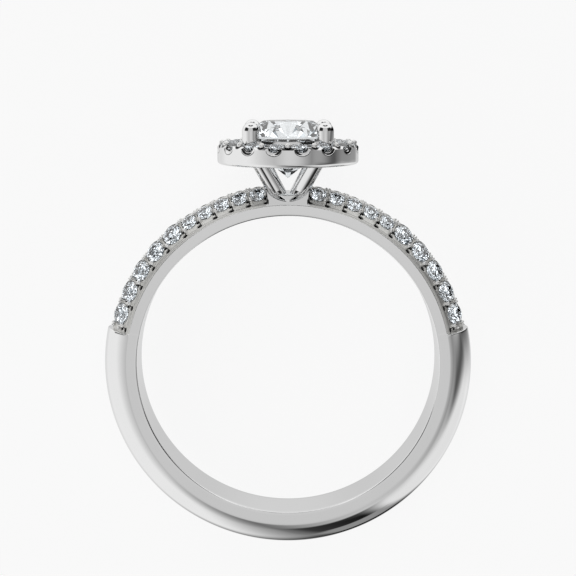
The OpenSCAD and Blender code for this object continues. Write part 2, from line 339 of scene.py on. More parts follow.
class Effects:
    """Shader node groups that more than one finish uses."""

    @staticmethod
    def handling() -> bpy.types.ShaderNodeTree:
        """Faint marks of polishing and wear: a colour that drifts a little, a roughness and a height.

        Returns:
            A group with the inputs Color, Drift, Roughness, Marks and Scale, and the outputs Color,
            Roughness and Height.
        """
        group = bpy.data.node_groups.get("handling_marks")
        if group:
            return group
        group = bpy.data.node_groups.new("handling_marks", "ShaderNodeTree")
        socket = group.interface.new_socket
        for way in ("INPUT", "OUTPUT"):
            socket("Color", in_out=way, socket_type="NodeSocketColor")
        for name, value in (("Drift", 0.04), ("Roughness", 0.1), ("Marks", 0.03), ("Scale", 1.0)):
            socket(name, in_out="INPUT", socket_type="NodeSocketFloat").default_value = value
        for name in ("Roughness", "Height"):
            socket(name, in_out="OUTPUT", socket_type="NodeSocketFloat")
        node, link = group.nodes.new, group.links.new
        inner, outer = node("NodeGroupInput"), node("NodeGroupOutput")
        coords = node("ShaderNodeTexCoord")
        broad, fine = node("ShaderNodeTexNoise"), node("ShaderNodeTexNoise")
        for noise, per_metre, detail in ((broad, 420.0, 2.0), (fine, 5200.0, 4.0)):
            scale = Effects.math(group, "MULTIPLY", inner.outputs["Scale"], per_metre)
            link(coords.outputs["Object"], noise.inputs["Vector"])
            link(scale, noise.inputs["Scale"])
            noise.inputs["Detail"].default_value = detail
        spread = Effects.math(group, "MULTIPLY_ADD", broad.outputs["Fac"], 2.0, -1.0)
        drift = Effects.math(group, "MULTIPLY", spread, inner.outputs["Drift"])
        gain = Effects.math(group, "ADD", drift, 1.0)
        tint = node("ShaderNodeVectorMath")
        tint.operation = "SCALE"
        link(inner.outputs["Color"], tint.inputs[0])
        link(gain, tint.inputs["Scale"])
        link(tint.outputs[0], outer.inputs["Color"])
        marks = Effects.math(group, "MULTIPLY", fine.outputs["Fac"], inner.outputs["Marks"])
        link(Effects.math(group, "ADD", marks, inner.outputs["Roughness"]), outer.inputs["Roughness"])
        link(fine.outputs["Fac"], outer.inputs["Height"])
        return group

    @staticmethod
    def finish(name: str, color: tuple[float, float, float],
               **marks: float) -> tuple[bpy.types.Material, bpy.types.Node, bpy.types.Node]:
        """Starts a finish with the handling marks in it.

        Args:
            name: the material's name.
            color: the colour that goes into the marks.
            marks: the marks' other inputs.

        Returns:
            The material, its Principled BSDF and the node with the marks.
        """
        material = bpy.data.materials.new(name)
        material.use_nodes = True
        nodes = material.node_tree.nodes
        wear = nodes.new("ShaderNodeGroup")
        wear.node_tree = Effects.handling()
        wear.inputs["Color"].default_value = (*color, 1.0)
        for mark, value in marks.items():
            wear.inputs[mark].default_value = value
        return material, nodes["Principled BSDF"], wear

    @staticmethod
    def math(tree: bpy.types.NodeTree, operation: str, *values: "float | bpy.types.NodeSocket",
             clamp: bool = False) -> bpy.types.NodeSocket:
        """Adds a math node to a tree, linking sockets and setting plain numbers.

        Args:
            tree: the tree that the node goes into.
            operation: the node's operation.
            values: its inputs in order.
            clamp: keeps the result between 0 and 1.

        Returns:
            The node's output socket.
        """
        step = tree.nodes.new("ShaderNodeMath")
        step.operation = operation
        step.use_clamp = clamp
        for socket, value in zip(step.inputs, values):
            if isinstance(value, (int, float)):
                socket.default_value = value
            else:
                tree.links.new(value, socket)
        return step.outputs[0]


@dataclass(frozen=True)
class MetalFinish:
    """White metal: polished bright, or greyer and duller where a graver has worked between stones.

    Where the piece's painted shade is 1, its base colour is painted as dark as the bottom of a narrow cut.
    """

    name: str
    color: tuple[float, float, float]
    roughness: float
    marks: float
    drift: float
    bump: float
    bump_distance: float = 2e-6
    # Colour of the painted shade, near black
    recess: tuple[float, float, float] = (0.015, 0.015, 0.015)

    def material(self) -> bpy.types.Material:
        """Builds the finish from the Principled BSDF and the handling marks.

        Returns:
            The material, its base colour darkened by the shade painted on the piece.
        """
        material, shader, wear = Effects.finish(
            self.name, self.color, Drift=self.drift, Roughness=self.roughness, Marks=self.marks)
        shader.inputs["Metallic"].default_value = 1.0
        tree = material.node_tree
        bump = tree.nodes.new("ShaderNodeBump")
        bump.inputs["Strength"].default_value = self.bump
        bump.inputs["Distance"].default_value = self.bump_distance
        # Painted shade: the piece's attribute mixes the base colour towards the near-black shade colour
        cut = tree.nodes.new("ShaderNodeAttribute")
        cut.attribute_name = "recess"
        darken = tree.nodes.new("ShaderNodeMix")
        darken.data_type = "RGBA"
        darken.inputs[MIX_B].default_value = (*self.recess, 1.0)
        tree.links.new(cut.outputs["Fac"], darken.inputs[MIX_FACTOR])
        tree.links.new(wear.outputs["Color"], darken.inputs[MIX_A])
        tree.links.new(darken.outputs[MIX_RESULT], shader.inputs["Base Color"])
        tree.links.new(wear.outputs["Roughness"], shader.inputs["Roughness"])
        tree.links.new(wear.outputs["Height"], bump.inputs["Height"])
        tree.links.new(bump.outputs["Normal"], shader.inputs["Normal"])
        return material


@dataclass(frozen=True)
class StoneFinish:
    """Colourless cut stone with a faint cool tint that drifts from stone to stone."""

    name: str
    color: tuple[float, float, float]
    drift: float
    drift_scale: float = 3.0
    ior: float = 2.417

    def material(self) -> bpy.types.Material:
        """Builds the stone from a clear Principled BSDF.

        Returns:
            The material, which lets light through and bends it as the stone does.
        """
        material, shader, tint = Effects.finish(
            self.name, self.color, Drift=self.drift, Scale=self.drift_scale)
        shader.inputs["Transmission Weight"].default_value = 1.0
        shader.inputs["IOR"].default_value = self.ior
        shader.inputs["Roughness"].default_value = 0.0
        material.node_tree.links.new(tint.outputs["Color"], shader.inputs["Base Color"])
        return material


@dataclass
class Finishes:
    """Every finish on the ring, built once."""

    polished: bpy.types.Material = field(default_factory=lambda: MetalFinish(
        "polished_white_metal", (0.87, 0.87, 0.87), 0.035, 0.02, 0.015, 0.03).material())
    worked: bpy.types.Material = field(default_factory=lambda: MetalFinish(
        "worked_white_metal", (0.88, 0.875, 0.85), 0.48, 0.06, 0.03, 0.03).material())
    # The grains: a rough satin white metal, its colour painted brighter than the polished metal's as a
    # painted highlight
    rough_and_painted_bright: bpy.types.Material = field(default_factory=lambda: MetalFinish(
        "satin_grain_metal", (0.99, 0.99, 0.98), 0.45, 0.05, 0.02, 0.03).material())
    center: bpy.types.Material = field(default_factory=lambda: StoneFinish(
        "center_brilliant", (0.93, 0.96, 0.98), 0.01).material())
    small: bpy.types.Material = field(default_factory=lambda: StoneFinish(
        "small_brilliants", (0.92, 0.955, 0.985), 0.05).material())


@dataclass(frozen=True)
class BandSizes:
    """The band's measures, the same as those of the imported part."""

    bore_r: float = 8.5
    bore_edge: float = 0.08
    width: float = 3.05
    thickness: float = 1.95
    palm_extra: float = 0.08
    side_h: float = 0.62
    plate_step: float = 0.05
    plate_edge_h: float = 0.77
    plate_slope: float = math.radians(43)
    crest_rise: float = 0.29
    crest_gap: float = 0.41
    end_wall: float = 0.4
    small_d: float = 0.9
    small_gap: float = 0.14
    small_count: int = 5
    large_d: float = 1.18
    large_gap: float = 0.17
    large_count: int = 5
    seat_gap: float = 0.04
    saddle_r: float = 1.5
    saddle_t: float = 0.87
    saddle_wall: float = 0.15

    @property
    def half_w(self) -> float:
        """Half of the band's width."""
        return self.width / 2

    @property
    def side_r(self) -> float:
        """Radius at which the flat side faces end."""
        return self.bore_r + self.side_h

    @property
    def dome_r(self) -> float:
        """Radius of the dome's round: half the width and the rise give the circle."""
        rise = self.thickness - self.side_h
        return (self.half_w**2 + rise**2) / (2 * rise)

    @property
    def dome_c(self) -> float:
        """Distance of the dome's round from the finger's axis."""
        return self.bore_r + self.thickness - self.dome_r

    @property
    def plate_half_w(self) -> float:
        """Half of the width over the plates."""
        return self.half_w - self.plate_step

    @property
    def row_half(self) -> float:
        """How far a row of stones lies from the crest's middle."""
        return self.crest_gap + self.large_d / 2 * math.cos(self.plate_slope)

    @property
    def foot_r(self) -> float:
        """Radius at which a plate starts to slope."""
        return self.bore_r + self.plate_edge_h

    @property
    def row_r(self) -> float:
        """Radius of the stones' girdles."""
        return self.foot_r + (self.plate_half_w - self.row_half) * math.tan(self.plate_slope)

    @property
    def crest_r(self) -> float:
        """Radius of the crest between the rows."""
        return self.row_r + self.crest_rise

    def stones(self) -> list[tuple[float, float]]:
        """Works out a row of stones from the saddle's edge down.

        Returns:
            Each stone's angle from the head in radians and its diameter.
        """
        depth = self.row_r - self.bore_r - self.saddle_t
        reach = math.sqrt(self.saddle_r**2 - (self.saddle_r - depth)**2)
        first = (reach + self.saddle_wall + self.small_d / 2) / self.row_r
        small = (self.small_d + self.small_gap) / self.row_r
        large = (self.large_d + self.large_gap) / self.row_r
        row = [(first + i * small, self.small_d) for i in range(self.small_count)]
        start = row[-1][0] + (small + large) / 2
        return row + [(start + i * large, self.large_d) for i in range(self.large_count)]

    def gaps(self) -> list[tuple[float, float]]:
        """Works out the gaps of a row, one before each stone and one after the last.

        Returns:
            Each gap's angle from the head in radians and the diameter of the stone beside it.
        """
        found = []
        for angle, diameter in self.stones():
            gap = self.large_gap if diameter == self.large_d else self.small_gap
            found.append((angle - (diameter + gap) / 2 / self.row_r, diameter))
        last, diameter = self.stones()[-1]
        return found + [(last + (diameter + self.large_gap) / 2 / self.row_r, diameter)]

    def plate_end(self) -> float:
        """Angle from the head at which the plates end and the plain dome starts."""
        return self.stones()[-1][0] + (self.large_d / 2 + self.end_wall) / self.row_r

    def seat(self, side: int, row: int, angle: float) -> tuple[np.ndarray, np.ndarray]:
        """Where a shoulder stone sits.

        Args:
            side: -1 for the left shoulder, 1 for the right.
            row: -1 for the front row, 1 for the back row.
            angle: angle from the head in radians.

        Returns:
            The seat's axes as rows, along the band, down the plate and out of it, and its origin.
        """
        a = side * angle
        out = np.array([math.sin(a), 0.0, math.cos(a)])
        along = np.array([math.cos(a), 0.0, -math.sin(a)])
        axis = math.cos(self.plate_slope) * out + np.array([0.0, row * math.sin(self.plate_slope), 0.0])
        down = np.cross(axis, along)
        origin = self.row_r * out + np.array([0.0, row * self.row_half, -self.palm_extra])
        return np.stack([along, down, axis]), origin


@dataclass
class Band:
    """The plain band: bore, side faces and dome all the way round, cut down under the plates."""

    sizes: BandSizes
    finishes: Finishes
    turns: int = 560
    shank_share: float = 0.7
    flat_points: int = 6
    edge_points: int = 7
    corner_points: int = 8
    dome_points: int = 44
    roll_points: int = 6
    side_margin: float = 0.02
    corner_round: float = 0.03
    edge_round: float = 0.05

    def half_section(self, domed: np.ndarray, inset: np.ndarray) -> np.ndarray:
        """Half of the section for each place round the band, as radius, width and lift.

        The bore, its rounded edge and the side face are the same everywhere. Above them the section is a
        round of the dome where domed is 1, and a level step under the plates where it is 0.

        Args:
            domed: 1 or 0 for each ring of points.
            inset: how far the dome stands back at each ring.

        Returns:
            Rings by points by radius, width and lift.
        """
        s, flat, turn = self.sizes, self.flat_points, self.corner_round
        bore = np.stack([np.full(flat, s.bore_r), np.linspace(0.0, s.half_w - s.bore_edge, flat)], axis=1)
        edge = arc_points((s.bore_r + s.bore_edge, s.half_w - s.bore_edge), s.bore_edge,
                          180, 90, self.edge_points)[1:]
        side = np.stack([np.linspace(s.bore_r + 2 * s.bore_edge, s.side_r - self.side_margin, flat),
                         np.full(flat, s.half_w)], axis=1)
        fixed = np.concatenate([bore, edge, side])
        start = math.degrees(math.asin(s.half_w / s.dome_r))
        ease = np.linspace(0.0, 1.0, self.dome_points)
        angles = np.radians(start * (1.0 - ease))
        radii = s.dome_r - inset[:, None]
        dome = np.stack([s.dome_c + radii * np.cos(angles), radii * np.sin(angles)], axis=-1)
        corner = arc_points((s.side_r - turn, s.half_w - turn), turn, 90, 0, self.corner_points)
        rest = self.dome_points - self.corner_points
        level = np.stack([np.full(rest, s.side_r), np.linspace(s.half_w - 2 * turn, 0.0, rest)], axis=1)
        step = np.concatenate([corner, level])
        upper = np.where(domed[:, None, None] > 0.5, dome, step[None])
        lift = np.where(domed[:, None] > 0.5, -s.palm_extra, 0.0) * np.ones((1, self.dome_points))
        rings = len(domed)
        lower = np.concatenate([np.broadcast_to(fixed, (rings, *fixed.shape)),
                                np.zeros((rings, len(fixed), 1))], axis=-1)
        return np.concatenate([lower, np.concatenate([upper, lift[..., None]], axis=-1)], axis=1)

    def build(self) -> None:
        """Carries the section round the finger, with a rounded step where the dome meets the plates."""
        end = self.sizes.plate_end()
        roll = self.edge_round / self.sizes.crest_r
        shank = np.linspace(end + roll, 2 * math.pi - end - roll, int(self.turns * self.shank_share))
        under = np.linspace(-end, end, self.turns - len(shank))
        roll_t = np.radians(np.linspace(0.0, 90.0, self.roll_points))
        angles = np.concatenate([end + roll * (1 - np.sin(roll_t[::-1])), shank[1:-1],
                                 2 * math.pi - end - roll * (1 - np.sin(roll_t)), 2 * math.pi + under])
        inset = np.concatenate([self.edge_round * (1 - np.cos(roll_t[::-1])), np.zeros(len(shank) - 2),
                                self.edge_round * (1 - np.cos(roll_t)), np.zeros(len(under))])
        domed = np.concatenate([np.ones(len(shank) - 2 + 2 * self.roll_points), np.zeros(len(under))])
        half = self.half_section(domed, inset)
        mirrored = half[:, ::-1][:, 1:-1] * np.array([1.0, -1.0, 1.0])
        section = np.concatenate([half, mirrored], axis=1)
        radius, width, lift = section[..., 0], section[..., 1], section[..., 2]
        grid = about_finger(radius, angles[:, None], width, lift)
        Shape.from_grid(grid, close_rows=True, close_cols=True).build_metal(
            "plain_band", self.finishes.polished, sharp=35)


@dataclass(frozen=True)
class GraverCut:
    """A pit beside the grains of a gap, as deep as a cone, placed from the gap's middle on the plate.

    Away is the distance from the middle away from the head, and down the one towards the plate's foot.
    """

    away: float
    down: float
    half_away: float
    half_down: float
    depth: float


@dataclass(frozen=True)
class Grain:
    """A grain of a gap, placed like a graver's cut, with its radii away, down and out of the plate."""

    away: float
    down: float
    radii: tuple[float, float, float]


@dataclass
class Shoulder:
    """One shoulder: two sloping plates with a crest between them, their wells, cuts and grains."""

    side: Side
    sizes: BandSizes
    finishes: Finishes
    along: int = 640
    along_saddle: int = 90
    across: int = 116
    well_wall: float = 0.035
    well_reach: float = 0.7
    well_least: float = 0.02
    cut_reach: float = 0.45
    # How strongly painted shade darkens the wells' walls and the pits
    dark_gain: float = 3.2
    cuts: tuple[GraverCut, ...] = (
        GraverCut(0.1, 0.38, 0.11, 0.12, 0.14),
        GraverCut(0.08, 0.7, 0.18, 0.11, 0.14),
        GraverCut(0.0, 0.5, 0.035, 0.34, 0.06),
        GraverCut(-0.1, -0.58, 0.1, 0.12, 0.12),
        GraverCut(0.1, -0.58, 0.1, 0.12, 0.12),
    )
    grain_plan: tuple[Grain, ...] = (
        Grain(-0.1, 0.4, (0.11, 0.18, 0.16)),
        Grain(0.11, 0.16, (0.085, 0.1, 0.15)),
        Grain(-0.085, -0.38, (0.1, 0.12, 0.14)),
        Grain(0.085, -0.38, (0.1, 0.12, 0.14)),
    )
    grain_lift: float = 0.03
    saddle_half: float = 1.3
    saddle_edge: float = 0.3
    hollow_edge: float = 0.06
    crest_edge: float = 0.05
    front_ease: float = 0.12
    front_slope: float = math.radians(78)
    # Darkness of the painted shade lines along the plates' edges
    edge_dark: float = 0.3
    floor_sink: float = 0.12
    end_lap: float = 0.002

    def seats(self, places: list[tuple[float, float]]
              ) -> Iterator[tuple[int, float, np.ndarray, np.ndarray]]:
        """Goes through the places of the front row and then of the back row.

        Args:
            places: angle and diameter of each place of a row.

        Yields:
            The place's row, its diameter, its axes and its origin.
        """
        for row in (-1, 1):
            for angle, diameter in places:
                yield row, diameter, *self.sizes.seat(self.side.value, row, angle)

    def top_radius(self, angle: np.ndarray, width: np.ndarray) -> np.ndarray:
        """Radius of the plates before the stones are let in.

        The lower of three surfaces with rounded corners between them: the crest, a plate that rises from its
        foot at the plate's slope, and the hollow of the saddle, a round across the band under the head.
        Beside the head the plate stands almost upright, as the band's side face does.

        Args:
            angle: angles from the head in radians.
            width: places along the finger.

        Returns:
            The radius at each angle and width.
        """
        s = self.sizes
        ease = smooth_step((np.abs(np.sin(angle)) * s.row_r - self.saddle_half) / self.front_ease + 1.0)
        slope = self.front_slope + (s.plate_slope - self.front_slope) * ease
        plate = s.foot_r + (s.plate_half_w - np.abs(width)) * np.tan(slope)
        top = soft_min(plate, np.full_like(plate, s.crest_r), self.crest_edge)
        center = s.bore_r + s.saddle_t + s.saddle_r + s.palm_extra
        inside = s.saddle_r**2 - (center * np.sin(angle))**2
        hollow = center * np.cos(angle) - np.sqrt(np.maximum(inside, 0.0))
        hollow = np.where(inside > 0.0, hollow, s.crest_r + 1.0)
        return soft_min(top, hollow, self.hollow_edge + (self.saddle_edge - self.hollow_edge) * (1.0 - ease))

    def let_in(self, points: np.ndarray) -> tuple[np.ndarray, np.ndarray]:
        """Lets the stones' wells and the graver's cuts between them into the plates.

        A point inside a well's radius drops along the stone's axis to a shallow cone. A cut drops a point by
        a cone about the cut's middle. Shade is painted dark on the walls of the wells and in the pits.

        Args:
            points: the plates' surface.

        Returns:
            The surface with its wells and pits, and the shade painted on each point.
        """
        s = self.sizes
        recess = np.zeros(points.shape[:-1])
        for row in (-1, 1):
            for stone_angle, diameter in s.stones():
                axes, origin = s.seat(self.side.value, row, stone_angle)
                local = (points - origin) @ axes.T
                radius = np.hypot(local[..., 0], local[..., 1])
                well = diameter / 2 + s.seat_gap
                floor = -WELL_DEPTH - WELL_SLOPE * np.maximum(well - radius, 0.0)
                mask = smooth_step((well - radius) / self.well_wall)
                mask = np.where((np.abs(local[..., 2]) < self.well_reach), mask, 0.0)
                drop = np.maximum(local[..., 2] - floor, 0.0) * mask
                points = points - drop[..., None] * axes[2]
                # Painted shade: a dark ring on each well's wall
                edge = self.dark_gain * mask * (1.0 - mask)
                recess = np.maximum(recess, edge * (drop > self.well_least))
            for gap_angle, _ in s.gaps():
                axes, origin = s.seat(self.side.value, row, gap_angle)
                local = (points - origin) @ axes.T
                for cut in self.cuts:
                    away = np.hypot((self.side.value * local[..., 0] - cut.away) / cut.half_away,
                                    (row * local[..., 1] - cut.down) / cut.half_down)
                    cone = np.maximum(1.0 - away, 0.0) * (np.abs(local[..., 2]) < self.cut_reach)
                    points = points - (cut.depth * cone)[..., None] * axes[2]
                    # Painted shade: the pit is darkened towards its middle
                    recess = np.maximum(recess, smooth_step(self.dark_gain * cone))
        return points, np.clip(recess, 0.0, 1.0)

    def plates(self, start: float, end: float, count: int) -> Shape:
        """A stretch of the plates or the saddle, closed with walls and a floor inside the band.

        Args:
            start: angle from the head at which the stretch starts, in radians.
            end: angle at which it ends.
            count: number of sections.

        Returns:
            The surface on a grid of angle and width.
        """
        s = self.sizes
        angle = self.side.value * np.linspace(start, end, count)[:, None]
        width = np.linspace(-s.plate_half_w, s.plate_half_w, self.across)[None, :]
        a, w = np.broadcast_arrays(angle, width)
        top, recess = self.let_in(about_finger(self.top_radius(a, w), a, w, -s.palm_extra))
        # A fine line of painted shade along both edges of the plates, but not of the saddle
        if start > 0.0:
            for line in (slice(2, 4), slice(-4, -2)):
                recess[:, line] = np.maximum(recess[:, line], self.edge_dark)
        walls = about_finger(s.side_r - self.floor_sink, angle, width[:, [-1, 0]], 0.0)
        shape = Shape.tube(np.concatenate([top, walls], axis=1))
        shape.recess = np.concatenate([recess, np.zeros((count, 2))], axis=1).ravel()
        return shape

    def grains(self) -> Shape:
        """The grains of every gap of each row, at the crest and at the plate's foot.

        Returns:
            All grains of the shoulder as one shape.
        """
        beads = []
        for row, diameter, axes, origin in self.seats(self.sizes.gaps()):
            share = diameter / self.sizes.large_d
            for grain in self.grain_plan:
                center = (origin + self.side.value * grain.away * axes[0]
                          + row * share * grain.down * axes[1] + self.grain_lift * axes[2])
                beads.append(ball(center, grain.radii, axes))
        return Shape.joined(beads)

    def stones(self) -> Shape:
        """The two rows of brilliants."""
        return Shape.joined([BrilliantCut(diameter).shape().moved(axes, origin)
                             for _, diameter, axes, origin in self.seats(self.sizes.stones())])

    def build(self) -> None:
        """Makes the shoulder's half of the saddle, its plates, grains and stones."""
        name = self.side.name.lower()
        split, end = self.saddle_half / self.sizes.row_r, self.sizes.plate_end() + self.end_lap
        self.plates(0.0, split, self.along_saddle).build_metal(
            f"saddle_{name}", self.finishes.polished, sharp=55)
        self.plates(split, end, self.along).build_metal(f"shoulder_{name}", self.finishes.worked, sharp=55)
        self.grains().build_metal(f"shoulder_grains_{name}", self.finishes.rough_and_painted_bright, sharp=80)
        self.stones().build_stone(f"pave_{name}", self.finishes.small, Slot.SMALL, f"pave_stones_{name}")


@dataclass
class Halo:
    """The halo: a rim with a bed for the stones, an inner lip, scallops, grains and the stones."""

    sizes: BandSizes
    finishes: Finishes
    lip_r: float = 2.6
    lip_t: float = 0.1
    lip_top: float = 12.66
    base_z: float = 11.31
    bed_z: float = 12.42
    girdle_z: float = 12.36
    wall_z: float = 12.27
    outer_r: float = 3.95
    rim_round: float = 0.2
    slope_w: float = 0.13
    stone_d: float = 1.12
    count: int = 16
    row_r: float = 3.30
    scallop_r: float = 0.33
    scallop_z: float = 12.45
    scallop_least: float = 0.02
    bevel: float = 0.16
    bevel_w: float = 0.09
    bed_edge: float = 0.03
    lip_edge: float = 0.03
    lip_corner: tuple[float, float] = (0.01, 0.008)
    grain_r: float = 0.17
    grain_back: float = 0.09
    grain_top: float = 12.645
    around: int = 64
    bed_rings: int = 34
    slope_rings: int = 15
    wall_shares: tuple[float, ...] = (0.99, 0.93, 0.91, 0.8, 0.6, 0.4, 0.2)
    # Painted shade: in the scallops, in a ring round each grain and on the wall under each scallop
    cut_dark: float = 0.85
    cut_fade: tuple[float, float] = (0.35, 0.3)
    ring_dark: tuple[float, float] = (0.11, 0.05)
    wall_dark: float = 0.95
    wall_fade: float = 0.06

    @staticmethod
    def spoke(turn: float) -> np.ndarray:
        """The axes of a place on the halo as rows: outwards, along the rim and up."""
        out = np.array([math.cos(turn), math.sin(turn), 0.0])
        return np.stack([out, [-out[1], out[0], 0.0], [0.0, 0.0, 1.0]])

    def stone_angles(self) -> np.ndarray:
        """Angle of each stone about the head's axis, from +X, the first one just right of the front."""
        return np.radians(-90.0 + (np.arange(self.count) + 0.5) * 360.0 / self.count)

    def top_height(self, angle: np.ndarray, radius: np.ndarray) -> tuple[np.ndarray, np.ndarray]:
        """Height of the rim's upper side, and the shade painted on it.

        The lower of the bed with its sloping outer edge, a round scallop that runs outwards in front of the
        stone and widens to a bevel at the wall's face, and the stone's well, a cone inside its radius. Shade
        is painted into the scallops, fading out towards the wall's face, and in a ring round the foot of each
        grain.

        Args:
            angle: angles about the head's axis in radians.
            radius: distances from that axis.

        Returns:
            The height at each angle and radius, and how dark the painted shade is there.
        """
        step = 2 * math.pi / self.count
        off = (angle + math.pi / 2) % step - step / 2
        lateral = radius * np.sin(off)
        forward = radius * np.cos(off) - self.row_r
        slope = (self.bed_z - self.wall_z) / self.slope_w
        height = soft_min(np.full_like(radius, self.bed_z),
                          self.bed_z - (radius - self.outer_r + self.slope_w) * slope, self.bed_edge)
        flare = smooth_step((radius - self.outer_r) / self.bevel_w + 1.0)
        reach = self.scallop_r + self.bevel * flare
        depth = np.sqrt(np.maximum(reach**2 - lateral**2, 0.0))
        scallop = np.where((forward > 0) & (np.abs(lateral) < reach), self.scallop_z - depth, np.inf)
        height = np.minimum(height, scallop)
        well = self.stone_d / 2 + self.sizes.seat_gap
        rho = np.hypot(lateral, forward)
        floor = self.girdle_z - WELL_DEPTH - WELL_SLOPE * np.maximum(well - rho, 0.0)
        # Painted shade in the scallops, fading out towards the wall's face
        cut = (height >= scallop) & (depth > self.scallop_least)
        inner, fade = self.cut_fade
        recess = np.where(cut, self.cut_dark * smooth_step((inner - flare) / fade), 0.0)
        # A ring of painted shadow round the foot of each grain
        beside = (angle + math.pi / 2 + step / 2) % step - step / 2
        bead = np.hypot(radius * np.sin(beside),
                        radius * np.cos(beside) - self.outer_r + self.grain_back + self.grain_r)
        ring, soft = self.ring_dark
        recess = np.maximum(recess, smooth_step((self.grain_r + ring - bead) / soft))
        return np.where(rho < well, np.minimum(height, floor), height), np.where(rho < well, 0.0, recess)

    def rim(self) -> Shape:
        """The rim's closed section carried round the head.

        Returns:
            The rim with its bed, wells, scallops and inner lip, and the shade painted on each point.
        """
        turn = np.linspace(0.0, 2 * math.pi, self.count * self.around, endpoint=False)[:, None]
        bed_r = self.lip_r + self.lip_t
        radii = np.concatenate([np.linspace(bed_r, self.outer_r - self.slope_w, self.bed_rings)[:-1],
                                np.linspace(self.outer_r - self.slope_w, self.outer_r, self.slope_rings)])
        a, r = np.broadcast_arrays(turn, radii[None, :])
        height, recess = self.top_height(a, r)
        top = about_head(r, a, height)
        edge_z = height[:, -1:]
        low = self.base_z + self.rim_round
        wall = about_head(self.outer_r, turn, low + (edge_z - low) * np.array([self.wall_shares]))
        edge, (deep, flat) = self.lip_edge, self.lip_corner
        under = np.concatenate([
            arc_points((self.outer_r - self.rim_round, low), self.rim_round, 0, -90, 10),
            [[self.lip_r + edge, self.base_z], [self.lip_r + deep, self.base_z + deep],
             [self.lip_r, self.base_z + edge]],
            [[self.lip_r, self.lip_top - edge], [self.lip_r + deep, self.lip_top - flat],
             [self.lip_r + edge, self.lip_top], [bed_r - edge, self.lip_top],
             [bed_r - flat, self.lip_top - deep], [bed_r, self.lip_top - edge]]])
        rest = about_head(under[None, :, 0], turn, under[None, :, 1])
        shape = Shape.from_grid(np.concatenate([top, wall, rest], axis=1), close_rows=True, close_cols=True)
        # The upper two rows of the wall get painted shade under each scallop
        dark = self.wall_dark * smooth_step((self.wall_z - self.wall_fade / 2 - edge_z) / self.wall_fade)
        open_part = np.zeros((len(turn), wall.shape[1] - 2 + rest.shape[1]))
        shape.recess = np.concatenate([recess, dark, dark, open_part], axis=1).ravel()
        return shape

    def grains(self) -> Shape:
        """A round grain at the outer edge of each gap between two stones.

        Returns:
            All grains of the rim as one shape.
        """
        beads = []
        for k in range(self.count):
            axes = self.spoke(math.radians(-90.0 + k * 360.0 / self.count))
            center = (axes[0] * (self.outer_r - self.grain_back - self.grain_r)
                      + axes[2] * (self.grain_top - self.grain_r))
            beads.append(ball(center, (self.grain_r,) * 3, axes, rings=12, around=20))
        return Shape.joined(beads)

    def build(self) -> None:
        """Makes the rim, its grains and its stones."""
        self.rim().build_metal("halo_rim", self.finishes.polished, sharp=38)
        self.grains().build_metal("halo_grains", self.finishes.rough_and_painted_bright, sharp=80)
        for number, turn in enumerate(self.stone_angles(), start=1):
            axes = self.spoke(turn)
            origin = axes[0] * self.row_r + axes[2] * self.girdle_z
            BrilliantCut(self.stone_d).shape().moved(axes, origin).build_stone(
                f"halo_brilliant_{number:02d}", self.finishes.small, Slot.SMALL, f"halo_stone_{number:02d}")


